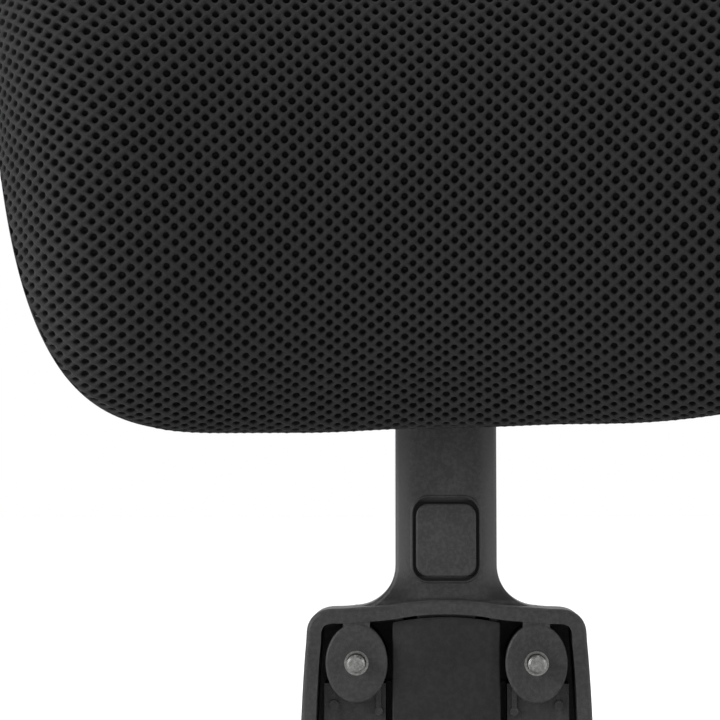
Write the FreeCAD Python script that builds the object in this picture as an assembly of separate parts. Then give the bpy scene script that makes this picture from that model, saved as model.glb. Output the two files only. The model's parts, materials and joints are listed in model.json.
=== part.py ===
"""Chair headrest attachment: a padded mesh headrest on a height-adjustable post, with a bolt-on bracket.

Frame: millimetres, +Z up, -Y towards the sitter. The origin is the centre of the four mounting bolts,
on the bracket's front bearing plane, which rests against the rear of a chair's back.

The bracket and its neck are a front frame and a rear cover, closed round a channel. A flat post slides in
that channel on two guide bushes. A push button in the neck carries a stirrup round the post, and a spring
behind the stirrup draws its tooth towards the notches in the post's rear face. The post's top eye carries
the headrest on a friction hinge. The headrest is a carrier plate, a foam cushion, a mesh cover whose hem
is held by an edge strip, and a rear shell.
"""

import FreeCAD
import Part

import math
import os

V = FreeCAD.Vector

# ---- driving dimensions -------------------------------------------------------------------------------

# Mounting pattern: four M6 bolts on a rectangle
BOLT_DX = 59.0
BOLT_DZ = 56.0
BOLT_R = 3.0
BOLT_LENGTH = 25.0
SLEEVE_R = 4.0
SLEEVE_BORE_R = 3.2

# Depths, from the bearing plane backwards
Y_NECK = 2.5  # front of the neck at its middle
WALL = 2.5
Y_CAVITY = Y_NECK + WALL
Y_SPLIT = 18.0  # where the rear cover meets the frame
Y_BACK = Y_SPLIT + WALL
CROWN_R = 113.0  # crown of the neck's and the channel cover's front faces

# Bracket and neck, seen from the front
RIM = 4.9
NECK_HALF = 16.75
NECK_TOP = 124.0
CAVITY_HALF = NECK_HALF - WALL
CAVITY_BOTTOM = -41.5
FLARE_R = 13.8  # concave flare between the neck and the bracket's shoulders
FLARE_Z = 60.0
BOSS_RX = 10.2
BOSS_RZ = 13.0
TABLE_X = (20.0, 40.3)  # raised table between an upper and a lower boss
TABLE_Z = 21.0
Y_TABLE = 6.0
CHANNEL_HALF = 17.8
CHANNEL_TOP = 42.9

# Sliding post
POST_HALF = 10.0
POST_Y = (7.5, 15.5)
POST_BOTTOM = -12.0
SLIDE = 50.0
NOTCH_PITCH = 10.0
STOP_PIN_Z = -6.0
STOP_PIN_R = 2.0
GUIDE_GAP = 0.15

# Release button
BUTTON_Z = 68.5
BUTTON_HALF = (10.0, 12.8)
BUTTON_CORNER = 4.3
BUTTON_GAP = 0.8
BUTTON_PROUD = 1.0
TOOTH_GAP = 0.3
STIRRUP_HALF = 12.6
STIRRUP_BACK = 17.7
HUMP = 3.5  # how far the hump over the latch spring stands out of the rear cover

# Hinge
PIVOT_Y = 11.5
PIVOT_Z = 192.0
EYE_R = 9.0
EYE_HALF = 12.0
PIN_R = 3.0
LUG = (12.6, 17.6)
LUG_R = 10.5

# Headrest pad
PAD_Z = 198.0
PAD_HALF_W = 140.0  # at the middle height
PAD_TAPER = 0.08  # how much wider than that the pad would be at its top
PAD_HALF_H = 93.5
PAD_FRONT = -67.0  # foremost point of the cover, at the pad's middle
PAD_BACK = -16.5  # rear of the cover's hem
BEND_R = 404.0  # plan radius of the rear shell
SHELL_T = 2.5
COVER_T = 2.6
CARRIER_T = 3.0
HEM = 12.0
HINGE_PLATE = (30.0, 22.0)  # half width and half height of the hinge bracket's base

BEND_Y = PAD_BACK + SHELL_T - BEND_R  # the vertical axis that the pad is bent round


# ---- helpers ------------------------------------------------------------------------------------------


def box(x0, x1, y0, y1, z0, z1):
    """A block between two corners."""
    return Part.makeBox(x1 - x0, y1 - y0, z1 - z0, V(x0, y0, z0))


def rod_y(x, z, r, y0, y1):
    """A cylinder along Y."""
    return Part.makeCylinder(r, y1 - y0, V(x, y0, z), V(0, 1, 0))


def rod_x(y, z, r, x0, x1):
    """A cylinder along X."""
    return Part.makeCylinder(r, x1 - x0, V(x0, y, z), V(1, 0, 0))


def face_from(start, steps):
    """A face in the XZ plane, symmetric about X = 0, from the right half of its outline.

    start lies on X = 0. A step of two numbers is a line to that point, and one of four is an arc
    through a point to an end. The last step ends on X = 0."""
    edges = []
    x, z = start
    for step in steps:
        end = step[-2:]
        if len(step) == 2:
            edges.append(((x, z), None, end))
        else:
            edges.append(((x, z), step[:2], end))
        x, z = end
    whole = list(edges)
    for a, mid, b in reversed(edges):
        mirrored_mid = None if mid is None else (-mid[0], mid[1])
        whole.append(((-b[0], b[1]), mirrored_mid, (-a[0], a[1])))
    shapes = []
    for a, mid, b in whole:
        pa, pb = V(a[0], 0, a[1]), V(b[0], 0, b[1])
        if mid is None:
            shapes.append(Part.LineSegment(pa, pb).toShape())
        else:
            shapes.append(Part.Arc(pa, V(mid[0], 0, mid[1]), pb).toShape())
    return Part.Face(Part.Wire(shapes))


def prism(face, y0, y1):
    """A face in the XZ plane, as a solid from y0 to y1."""
    moved = face.copy()
    moved.translate(V(0, y0, 0))
    solid = moved.extrude(V(0, y1 - y0, 0))
    return solid


def rounded_block(x, z, half_w, half_h, corner, y0, y1):
    """A block with round corners as seen from the front."""
    block = box(x - half_w, x + half_w, y0, y1, z - half_h, z + half_h)
    along_y = [e for e in block.Edges if abs(e.tangentAt(e.FirstParameter).y) > 0.99]
    return block.makeFillet(corner, along_y)


def oval(x, z, rx, rz, y0, y1):
    """An upright elliptical cylinder along Y."""
    ellipse = Part.Ellipse(V(x, 0, z + rz), V(x + rx, 0, z), V(x, 0, z))
    return prism(Part.Face(Part.Wire(ellipse.toShape())), y0, y1)


def crowned(y_front, y_rear, z0, z1, half_w):
    """A tall block whose front face is an arc in plan."""
    drop = CROWN_R - math.sqrt(CROWN_R**2 - half_w**2)
    a, b = V(-half_w, y_front + drop, z0), V(half_w, y_front + drop, z0)
    front = Part.Arc(a, V(0, y_front, z0), b).toShape()
    c, d = V(half_w, y_rear, z0), V(-half_w, y_rear, z0)
    sides = [Part.LineSegment(p, q).toShape() for p, q in ((b, c), (c, d), (d, a))]
    return Part.Face(Part.Wire([front] + sides)).extrude(V(0, 0, z1 - z0))


def join(shapes):
    """One solid from several that overlap, with the seams between their faces kept."""
    return shapes[0].multiFuse(shapes[1:])


def fuse(shapes):
    """One solid from several that overlap."""
    return join(shapes).removeSplitter()


def soften(shape, radius, wanted):
    """Rounds the edges that wanted(edge) picks."""
    edges = [e for e in shape.Edges if wanted(e)]
    return shape.makeFillet(radius, edges)


def lies_at_y(edge, y):
    """True if the whole edge lies in the plane at that y."""
    b = edge.BoundBox
    return abs(b.YMin - y) < 1e-4 and abs(b.YMax - y) < 1e-4


def on_corners(spans_x, spans_z, middle_z=0.0):
    """The four points of a rectangle about X = 0."""
    return [(sx * spans_x / 2, middle_z + sz * spans_z / 2) for sx in (-1, 1) for sz in (-1, 1)]


BOLTS = on_corners(BOLT_DX, BOLT_DZ)
COVER_SCREWS = on_corners(49.0, 24.0)


# ---- bracket ------------------------------------------------------------------------------------------


def bracket_face(inset=0.0):
    """The bracket's outline: an arched top, round shoulders, and sides that flare to a round foot.

    It is one smooth curve through points along lines and arcs, moved inwards by inset."""
    rough = face_from(
        (0, 48.9),
        [
            (9.8, 48.4, 19.0, 46.9),
            (37.5, 45.6),
            (43.6, 43.4, 45.9, 37.5),
            (47.6, 12.0, 48.0, -28.0),
            (44.4, -39.4, 33.5, -44.5),
            (17.0, -46.2, 0, -46.8),
        ],
    )
    points = rough.OuterWire.discretize(Number=81)[:-1]
    moved = []
    for i, point in enumerate(points):
        along = points[(i + 1) % len(points)].sub(points[i - 1]).normalize()
        moved.append(point.add(V(along.z, 0, -along.x).multiply(inset)))
    curve = Part.BSplineCurve()
    curve.interpolate(moved, PeriodicFlag=True)
    return Part.Face(Part.Wire(curve.toShape()))


def neck_block(y0, y1):
    """The neck with its flares, as a solid between two depths."""
    foot = 44.6
    half = math.sqrt(0.5)
    flare_x, flare_z = NECK_HALF + FLARE_R, FLARE_Z - FLARE_R
    outline = face_from(
        (0, NECK_TOP),
        [
            (NECK_HALF, NECK_TOP),
            (NECK_HALF, FLARE_Z),
            (flare_x - FLARE_R * half, FLARE_Z - FLARE_R * half, flare_x, flare_z),
            (flare_x, foot),
            (0, foot),
        ],
    )
    return prism(outline, y0, y1)


def is_neck_side(edge, y0, y1):
    """True for the neck's long edges and its flares, within a range of depths."""
    b = edge.BoundBox
    long_edge = b.ZLength > 40 and b.XLength < 0.01
    flare = b.ZLength > 10 and b.XLength > 10 and b.ZMin > 40 and b.ZMax < FLARE_Z + 0.1
    return (long_edge or flare) and b.YMin >= y0 and b.YMax <= y1


def mount_frame():
    """The moulded front frame: rim, oval bosses, tables, channel walls and the neck's front half."""
    rim = soften(prism(bracket_face(), 0, Y_SPLIT), 1.4, lambda e: lies_at_y(e, 0))
    rim = rim.cut(prism(bracket_face(RIM), -1, Y_SPLIT + 1))
    neck = neck_block(0, Y_SPLIT).common(crowned(Y_NECK, Y_SPLIT, 40, NECK_TOP, 40))
    neck = soften(neck, 1.6, lambda e: is_neck_side(e, 0, 12))
    pieces = [rim, neck]
    for side in (-1, 1):
        inner, outer = sorted((side * CAVITY_HALF, side * NECK_HALF))
        pieces.append(box(inner, outer, Y_CAVITY + 0.2, Y_SPLIT, CAVITY_BOTTOM - 1, 46.0))
        near, far = sorted((side * TABLE_X[0], side * TABLE_X[1]))
        pieces.append(box(near, far, Y_TABLE, Y_SPLIT, -TABLE_Z, TABLE_Z))
        pieces.append(box(min(near, inner), max(far, outer), Y_SPLIT - 2, Y_SPLIT, -TABLE_Z, TABLE_Z))
    for x, z in BOLTS:
        boss = oval(x, z, BOSS_RX, BOSS_RZ, 0, Y_SPLIT)
        pieces.append(soften(boss, 0.8, lambda e: lies_at_y(e, 0)))
        lug_z = math.copysign(abs(z) + BOSS_RZ - 1.0, z)
        pieces.append(rounded_block(x, lug_z, 4.4, 2.6, 1.0, 0.3, Y_SPLIT))
    for x, z in on_corners(74.0, 28.0):
        pieces.append(rod_y(x, z, 1.5, Y_TABLE - 1.0, Y_TABLE + 1))
    for x, z in on_corners(44.6, 24.0):
        pieces.append(rod_y(x, z, 1.4, Y_TABLE - 1.0, Y_TABLE + 1))
        rib_z = math.copysign(abs(z) + 3.6, z)
        pieces.append(rounded_block(x, rib_z, 0.8, 3.8, 0.7, Y_TABLE - 0.9, Y_TABLE + 1))
    frame = join(pieces)

    cuts = [box(-CAVITY_HALF, CAVITY_HALF, Y_CAVITY, Y_SPLIT + 1, CAVITY_BOTTOM, NECK_TOP + 1)]
    half_w, half_h = BUTTON_HALF[0] + BUTTON_GAP, BUTTON_HALF[1] + BUTTON_GAP
    cuts.append(
        rounded_block(0, BUTTON_Z, half_w, half_h, BUTTON_CORNER + BUTTON_GAP, -1, Y_CAVITY + 1)
    )
    cuts.append(box(-CAVITY_HALF, CAVITY_HALF, 4.1, Y_CAVITY + 1, BUTTON_Z - 15, BUTTON_Z + 15))
    for x, z in BOLTS:
        cuts.append(rod_y(x, z, SLEEVE_R, -1, Y_SPLIT + 1))
    for side in (-1, 1):
        near, far = sorted((side * (TABLE_X[0] + 2.2), side * (TABLE_X[1] - 2.2)))
        core = box(near, far, Y_TABLE + 2.2, Y_SPLIT + 1, 2.2 - TABLE_Z, TABLE_Z - 2.2)
        for x, z in COVER_SCREWS:
            if x * side > 0:
                core = core.cut(rod_y(x, z, 3.5, 0, Y_SPLIT + 2))
        for x, z in BOLTS:
            if x * side > 0:
                core = core.cut(oval(x, z, BOSS_RX, BOSS_RZ, 0, Y_SPLIT + 2))
        cuts.append(core)
    for x, z in COVER_SCREWS:
        cuts.append(rod_y(x, z, 1.3, Y_TABLE + 3, Y_SPLIT + 1))
    return frame.cut(Part.makeCompound(cuts))


def channel_cover():
    """The crowned panel that closes the front of the post's channel, with four snap tongues."""
    panel = face_from(
        (0, CHANNEL_TOP),
        [
            (9.0, CHANNEL_TOP - 0.45, CHANNEL_HALF, CHANNEL_TOP - 1.9),
            (CHANNEL_HALF, -40.2),
            (9.0, -41.5, 0, -41.9),
        ],
    )
    cover = prism(panel, 0, Y_CAVITY).common(crowned(2.0, Y_CAVITY, -50, 50, CHANNEL_HALF + 0.5))

    def face_edge(e):
        b = e.BoundBox
        return b.XLength < 0.01 and b.ZLength > 60 and b.YMin < Y_CAVITY - 0.5

    cover = soften(cover, 0.7, face_edge)
    tongues = []
    for side in (-1, 1):
        for z in (-30, 30):
            x0, x1 = sorted((side * (CAVITY_HALF - 0.2), side * (CAVITY_HALF - 1.4)))
            tongues.append(box(x0, x1, Y_CAVITY - 0.5, Y_CAVITY + 3.5, z - 3, z + 3))
    return fuse([cover] + tongues)


def rear_cover():
    """The rear half: back plate, neck back, a hump for the latch spring, and bolt collars."""
    plate = soften(prism(bracket_face(), Y_SPLIT, Y_BACK), 1.2, lambda e: lies_at_y(e, Y_BACK))
    neck = soften(neck_block(Y_SPLIT, Y_BACK), 1.2, lambda e: is_neck_side(e, Y_BACK - 0.1, Y_BACK + 0.1))
    hump_y = Y_BACK + HUMP
    hump = rounded_block(0, BUTTON_Z, STIRRUP_HALF + 2.6, 15.0, 4.0, Y_SPLIT, hump_y)
    hump = soften(hump, 1.5, lambda e: lies_at_y(e, hump_y))
    spine_y = Y_BACK + 1.2
    spine = rounded_block(0, 0, 15.5, 38.0, 6.0, Y_SPLIT, spine_y)
    spine = soften(spine, 1.0, lambda e: lies_at_y(e, spine_y))
    added = [plate, neck, hump, spine]
    for x, z in BOLTS:
        collar = rod_y(x, z, 9.5, Y_SPLIT, Y_BACK + 2.0)
        added.append(soften(collar, 0.8, lambda e: lies_at_y(e, Y_BACK + 2.0)))
    cover = join(added)
    hollow = STIRRUP_HALF + 0.5
    cuts = [box(-hollow, hollow, Y_SPLIT - 1, hump_y - 1.8, BUTTON_Z - 12.5, BUTTON_Z + 12.5)]
    for x, z in BOLTS:
        cuts.append(rod_y(x, z, 7.0, Y_SPLIT - 1, Y_BACK + 3))
    for x, z in COVER_SCREWS:
        cuts.append(rod_y(x, z, 1.7, Y_SPLIT - 1, Y_BACK + 2))
        cuts.append(rod_y(x, z, 3.2, Y_BACK - 1.3, Y_BACK + 2))
    return cover.cut(Part.makeCompound(cuts))


def hex_socket(centre, direction, across, depth):
    """A hexagonal recess along direction, to be cut out of a screw's head."""
    radius = across / math.sqrt(3)
    points = [
        V(radius * math.cos(math.radians(60 * i)), radius * math.sin(math.radians(60 * i)), 0)
        for i in range(6)
    ]
    prism_z = Part.Face(Part.makePolygon(points + points[:1])).extrude(V(0, 0, depth))
    prism_z.Placement = FreeCAD.Placement(centre, FreeCAD.Rotation(V(0, 0, 1), direction))
    return prism_z


def mounting_bolt(x, z):
    """An M6 button-head bolt, driven from behind, with a chamfered end."""
    seat = Y_SPLIT + 1.2
    tip = seat - BOLT_LENGTH
    thread = rod_y(x, z, BOLT_R, tip, 0)
    thread = thread.makeChamfer(0.7, [e for e in thread.Edges if lies_at_y(e, tip)])
    shank = rod_y(x, z, BOLT_R - 0.1, -1, seat)
    head = rod_y(x, z, 5.2, seat, seat + 3.3)
    head = soften(head, 1.6, lambda e: lies_at_y(e, seat + 3.3))
    bolt = fuse([thread, shank, head])
    return bolt.cut(hex_socket(V(x, seat + 3.4, z), V(0, -1, 0), 4.0, 2.3))


def washer(x, z):
    """A plain M6 washer under a bolt head, on the end of its sleeve."""
    return rod_y(x, z, 6.2, Y_SPLIT, Y_SPLIT + 1.2).cut(rod_y(x, z, BOLT_R + 0.2, 10, 30))


def sleeve(x, z):
    """A steel compression sleeve, pressed through a boss, so that the bolt doesn't crush the plastic."""
    return rod_y(x, z, SLEEVE_R, 0, Y_SPLIT).cut(rod_y(x, z, SLEEVE_BORE_R, -1, Y_SPLIT + 1))


def cover_screw(x, z):
    """A small self-tapping screw that holds the rear cover on."""
    seat = Y_BACK - 1.3
    screw = rod_y(x, z, 1.25, Y_TABLE + 4, seat).fuse(rod_y(x, z, 2.7, seat, seat + 1.5))
    slot_a = box(x - 1.5, x + 1.5, seat + 0.6, seat + 2, z - 0.35, z + 0.35)
    slot_b = box(x - 0.35, x + 0.35, seat + 0.6, seat + 2, z - 1.5, z + 1.5)
    return screw.removeSplitter().cut(slot_a.fuse(slot_b))


# ---- post, guides and latch ---------------------------------------------------------------------------


def guide_hole(z0, z1):
    """The opening that a guide bush leaves for the post."""
    return box(
        -POST_HALF - GUIDE_GAP, POST_HALF + GUIDE_GAP, POST_Y[0] - GUIDE_GAP, POST_Y[1] + GUIDE_GAP, z0, z1
    )


def guide_body(z0, z1):
    """A block that fills the channel with a little play."""
    return box(-CAVITY_HALF + 0.05, CAVITY_HALF - 0.05, Y_CAVITY + 0.05, Y_SPLIT - 0.05, z0, z1)


def upper_guide_bush():
    """The bush in the neck's mouth, with a collar that caps both halves of the neck."""
    collar = box(-NECK_HALF, NECK_HALF, Y_NECK - 0.3, Y_BACK, NECK_TOP, NECK_TOP + 2.8)
    upright = [e for e in collar.Edges if e.BoundBox.ZLength > 2 and e.BoundBox.XLength < 0.01]
    collar = collar.makeFillet(2.2, upright)
    collar = soften(collar, 0.9, lambda e: abs(e.BoundBox.ZMin - NECK_TOP - 2.8) < 1e-4)
    bush = fuse([collar, guide_body(NECK_TOP - 16, NECK_TOP + 1)])
    return bush.cut(guide_hole(NECK_TOP - 20, NECK_TOP + 5))


def lower_guide_bush():
    """The bush below the latch, which also stops the post's cross pin at full height."""
    stop = STOP_PIN_Z + STOP_PIN_R + SLIDE + 0.3
    return guide_body(stop, stop + 7.5).cut(guide_hole(stop - 1, stop + 9))


def post():
    """The flat post: notched at the rear, with an eye at the top for the hinge."""
    bar = box(-POST_HALF, POST_HALF, POST_Y[0], POST_Y[1], POST_BOTTOM, PIVOT_Z)
    bar = soften(bar, 1.0, lambda e: e.BoundBox.ZLength > 100)
    shoulder_z = PIVOT_Z - EYE_R - 5
    middle = (POST_Y[0] + POST_Y[1]) / 2
    corners = ((-1, -1), (1, -1), (1, 1), (-1, 1), (-1, -1))
    rings = []
    for half, deep, z in ((POST_HALF - 0.2, 3.9, shoulder_z), (EYE_HALF, 6.5, PIVOT_Z - 6)):
        rings.append(Part.makePolygon([V(sx * half, middle + sy * deep, z) for sx, sy in corners]))
    shoulder = Part.makeLoft(rings, True)
    eye = rod_x(PIVOT_Y, PIVOT_Z, EYE_R, -EYE_HALF, EYE_HALF)
    eye = soften(eye, 0.6, lambda e: e.BoundBox.XLength < 0.01)
    whole = fuse([bar, shoulder, eye])
    cuts = [rod_x(PIVOT_Y, PIVOT_Z, PIN_R + 1.5, -20, 20)]
    cuts.append(rod_x(middle, STOP_PIN_Z, STOP_PIN_R, -20, 20))
    for i in range(int(SLIDE / NOTCH_PITCH) + 1):
        z = BUTTON_Z - i * NOTCH_PITCH
        cuts.append(box(-6.5, 6.5, POST_Y[1] - 1.8, POST_Y[1] + 1, z - 2.2, z + 2.2))
    return whole.cut(Part.makeCompound(cuts))


def end_stop_pin():
    """The steel cross pin that keeps the post from being drawn out."""
    middle = (POST_Y[0] + POST_Y[1]) / 2
    pin = rod_x(middle, STOP_PIN_Z, STOP_PIN_R, -13, 13)
    return pin.makeChamfer(0.4, [e for e in pin.Edges if e.BoundBox.XLength < 0.01])


def release_button():
    """The push button's cap."""
    y0 = Y_NECK - BUTTON_PROUD
    cap = rounded_block(0, BUTTON_Z, BUTTON_HALF[0], BUTTON_HALF[1], BUTTON_CORNER, y0, 4.2)
    cap = soften(cap, 0.8, lambda e: lies_at_y(e, y0))
    return cap


def latch_stirrup():
    """The frame behind the cap: it passes round the post, and its rear bar carries the tooth."""
    low, high = BUTTON_Z - 6.5, BUTTON_Z + 6.5
    pieces = [box(-STIRRUP_HALF, STIRRUP_HALF, 4.2, 5.2, BUTTON_Z - 12.3, BUTTON_Z + 12.3)]
    for side in (-1, 1):
        x0, x1 = sorted((side * (POST_HALF + 0.4), side * STIRRUP_HALF))
        pieces.append(box(x0, x1, 4.2, STIRRUP_BACK, low, high))
    tooth_y = POST_Y[1] + TOOTH_GAP
    pieces.append(box(-STIRRUP_HALF, STIRRUP_HALF, tooth_y + 0.4, STIRRUP_BACK, low, high))
    pieces.append(box(-5.5, 5.5, tooth_y, STIRRUP_BACK, BUTTON_Z - 1.5, BUTTON_Z + 1.5))
    pieces.append(rod_y(0, BUTTON_Z, 2.4, STIRRUP_BACK - 0.5, STIRRUP_BACK + 1.2))
    return fuse(pieces)


def latch_spring():
    """The coil spring between the stirrup's rear bar and the hump of the rear cover."""
    wire_r, coil_r, turns = 0.45, 3.4, 3.5
    y0 = STIRRUP_BACK + wire_r + 0.02
    length = Y_BACK + HUMP - 1.8 - wire_r - 0.02 - y0
    points = []
    per_turn = 16
    for i in range(int(turns * per_turn) + 1):
        a = 2 * math.pi * i / per_turn
        along = y0 + length * i / (turns * per_turn)
        points.append(V(coil_r * math.cos(a), along, BUTTON_Z + coil_r * math.sin(a)))
    curve = Part.BSplineCurve()
    curve.interpolate(points)
    path = curve.toShape()
    start = path.FirstParameter
    ring = Part.Wire(Part.Circle(path.valueAt(start), path.tangentAt(start), wire_r).toShape())
    return Part.Wire(path).makePipeShell([ring], True, True)


# ---- hinge --------------------------------------------------------------------------------------------


def hinge_bush():
    """The plain bearing in the post's eye."""
    outer = rod_x(PIVOT_Y, PIVOT_Z, PIN_R + 1.5, -EYE_HALF, EYE_HALF)
    return outer.cut(rod_x(PIVOT_Y, PIVOT_Z, PIN_R + 0.05, -20, 20))


def hinge_bracket():
    """The base plate on the pad's carrier, with two lugs for the pivot bolt."""
    half_w, half_h = HINGE_PLATE
    y0 = PAD_BACK - COVER_T
    base = rounded_block(0, PIVOT_Z, half_w, half_h, 6.0, y0, y0 + 4.0)
    base = soften(base, 1.0, lambda e: lies_at_y(e, y0 + 4.0))
    pieces = [base]
    for side in (-1, 1):
        x0, x1 = sorted((side * LUG[0], side * LUG[1]))
        cheek = Part.makePolygon(
            [
                V(x0, y0 + 2, PIVOT_Z - 18),
                V(x0, y0 + 2, PIVOT_Z + 18),
                V(x0, PIVOT_Y, PIVOT_Z + LUG_R),
                V(x0, PIVOT_Y, PIVOT_Z - LUG_R),
                V(x0, y0 + 2, PIVOT_Z - 18),
            ]
        )
        pieces.append(Part.Face(cheek).extrude(V(x1 - x0, 0, 0)))
        pieces.append(rod_x(PIVOT_Y, PIVOT_Z, LUG_R, x0, x1))
    bracket = fuse(pieces)
    cuts = [rod_x(PIVOT_Y, PIVOT_Z, PIN_R + 0.1, -30, 30)]
    for x, z in on_corners(48.0, 32.0, PIVOT_Z):
        cuts.append(rod_y(x, z, 1.6, y0 - 1, y0 + 6))
        cuts.append(rod_y(x, z, 3.4, y0 + 2.4, y0 + 6))
    return bracket.cut(Part.makeCompound(cuts))


def hexagon(x0, x1, across):
    """A hexagonal bolt head or nut about the pivot."""
    radius = across / math.sqrt(3)
    points = []
    for i in range(7):
        a = math.radians(60 * i)
        points.append(V(x0, PIVOT_Y + radius * math.cos(a), PIVOT_Z + radius * math.sin(a)))
    return Part.Face(Part.makePolygon(points)).extrude(V(x1 - x0, 0, 0))


def hinge_bolt():
    """The M6 pivot bolt."""
    shank = rod_x(PIVOT_Y, PIVOT_Z, PIN_R, -LUG[1], 25.0)
    return fuse([shank, hexagon(-LUG[1] - 4.0, -LUG[1], 10.0)])


def hinge_nut():
    """The lock nut that sets the hinge's friction."""
    x0 = LUG[1] + 1.8
    return hexagon(x0, x0 + 5.0, 10.0).cut(rod_x(PIVOT_Y, PIVOT_Z, PIN_R, 0, 40))


def friction_washers():
    """A nylon washer on each side of the eye."""
    washers = []
    for side in (-1, 1):
        x0, x1 = sorted((side * (EYE_HALF + 0.04), side * (LUG[0] - 0.04)))
        ring = rod_x(PIVOT_Y, PIVOT_Z, 8.5, x0, x1)
        washers.append(ring.cut(rod_x(PIVOT_Y, PIVOT_Z, PIN_R + 0.1, -30, 30)))
    return Part.makeCompound(washers)


def spring_washers():
    """Two disc springs between the right lug and the nut, back to back."""
    discs = []
    for tip, base in ((LUG[1], LUG[1] + 0.9), (LUG[1] + 1.8, LUG[1] + 0.9)):
        way = 1 if base > tip else -1
        cone = Part.makeCone(4.2, 6.6, 0.9, V(tip, PIVOT_Y, PIVOT_Z), V(way, 0, 0))
        hollow = Part.makeCone(2.9, 5.3, 0.9, V(tip + way * 0.45, PIVOT_Y, PIVOT_Z), V(way, 0, 0))
        discs.append(cone.cut(hollow).cut(rod_x(PIVOT_Y, PIVOT_Z, PIN_R + 0.15, 0, 40)))
    return Part.makeCompound(discs)


def hinge_cap(side):
    """A snap-on cap over the bolt head or the nut."""
    x_lug = side * LUG[1]
    way = V(side, 0, 0)
    outer = Part.makeCylinder(9.6, 9.2, V(x_lug, PIVOT_Y, PIVOT_Z), way)
    rim = [e for e in outer.Edges if abs(e.BoundBox.XMin - x_lug - side * 9.2) < 1e-4]
    rim = [e for e in rim if e.BoundBox.XLength < 0.01]
    outer = outer.makeFillet(2.5, rim)
    inner = Part.makeCylinder(7.8, 9.0, V(x_lug - side, PIVOT_Y, PIVOT_Z), way)
    return outer.cut(inner)


# ---- headrest pad -------------------------------------------------------------------------------------


def pad_outline(inset):
    """The pad's outline seen from the front: a superellipse, fuller to the sides and a little wider above."""
    half_w, half_h = PAD_HALF_W - inset, PAD_HALF_H - inset
    power_x, power_z = 8.0, 2.7
    points = []
    steps = 48
    for i in range(steps):
        a = 2 * math.pi * (i + 0.5) / steps
        c, s = math.cos(a), math.sin(a)
        z = half_h * math.copysign(abs(s) ** (2 / power_z), s)
        x = half_w * math.copysign(abs(c) ** (2 / power_x), c) * (1 + PAD_TAPER * z / PAD_HALF_H)
        points.append(V(x, 0, PAD_Z + z))
    curve = Part.BSplineCurve()
    curve.interpolate(points, PeriodicFlag=True)
    return Part.Face(Part.Wire(curve.toShape()))


def bent(profile):
    """A face in the YZ plane, swept round the vertical bend axis far enough to cover the pad."""
    half_angle = 26.0
    axis_at = V(0, BEND_Y, 0)
    turned = profile.copy()
    turned.rotate(axis_at, V(0, 0, 1), -half_angle)
    return turned.revolve(axis_at, V(0, 0, 1), 2 * half_angle)


def bent_plate(y0, y1, inset):
    """A plate between two depths that follows the bend, trimmed to the pad's outline."""
    low, high = PAD_Z - PAD_HALF_H - 5, PAD_Z + PAD_HALF_H + 5
    section = Part.makePolygon([V(0, y0, low), V(0, y1, low), V(0, y1, high), V(0, y0, high), V(0, y0, low)])
    return bent(Part.Face(section)).common(prism(pad_outline(inset), -160, 20))


def pad_form(inset, back):
    """The pad's full form: bulging front, rolled top and bottom edges, and a bent flat back."""
    front = PAD_FRONT + inset
    half = PAD_HALF_H - inset
    shoulder, shoulder_y = half - 12.5, front + 25.0
    lip_y = PAD_BACK - 5.0
    roll_z, roll_y = half - 3.2, (shoulder_y + lip_y) / 2 - 3.5
    points = {
        "top_shoulder": V(0, shoulder_y, PAD_Z + shoulder),
        "apex": V(0, front, PAD_Z),
        "low_shoulder": V(0, shoulder_y, PAD_Z - shoulder),
    }
    low_lip, top_lip = V(0, lip_y, PAD_Z - half), V(0, lip_y, PAD_Z + half)
    low_back, top_back = V(0, back, PAD_Z - half + 2), V(0, back, PAD_Z + half - 2)
    edges = [
        Part.Arc(points["top_shoulder"], points["apex"], points["low_shoulder"]).toShape(),
        Part.Arc(points["low_shoulder"], V(0, roll_y, PAD_Z - roll_z), low_lip).toShape(),
        Part.LineSegment(low_lip, low_back).toShape(),
        Part.LineSegment(low_back, top_back).toShape(),
        Part.LineSegment(top_back, top_lip).toShape(),
        Part.Arc(top_lip, V(0, roll_y, PAD_Z + roll_z), points["top_shoulder"]).toShape(),
    ]
    return bent(Part.Face(Part.Wire(edges))).common(prism(pad_outline(inset), -160, 20))


def about_bend(shape, x):
    """A shape made at X = 0, turned round the bend axis so that it sits near that x."""
    turned = shape.copy()
    turned.rotate(V(0, BEND_Y, 0), V(0, 0, 1), -math.degrees(math.asin(x / BEND_R)))
    return turned


SHELL_SCREWS = on_corners(190.0, 110.0, PAD_Z)


def mesh_cover():
    """The mesh fabric round the foam, open at the back inside its hem."""
    skin = pad_form(0, PAD_BACK).cut(pad_form(COVER_T, PAD_BACK - COVER_T))
    return skin.cut(bent_plate(PAD_BACK - COVER_T - 0.5, PAD_BACK + 1, HEM))


def foam_cushion():
    """The foam, from the carrier's front face to the inside of the cover."""
    return pad_form(COVER_T + 0.1, PAD_BACK - COVER_T - CARRIER_T - 0.2)


def pad_carrier():
    """The moulded plate that carries the foam, with bosses for the rear shell's screws."""
    y1 = PAD_BACK - COVER_T - 0.05
    plate = bent_plate(y1 - CARRIER_T, y1, 5.0)
    cuts = [
        about_bend(rod_y(0, z, 1.2, y1 - CARRIER_T - 1, y1 + 1), x) for x, z in SHELL_SCREWS
    ]
    for x, z in on_corners(48.0, 32.0, PIVOT_Z):
        cuts.append(rod_y(x, z, 1.2, y1 - CARRIER_T - 3, y1 + 1))
    return plate.cut(Part.makeCompound(cuts))


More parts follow.
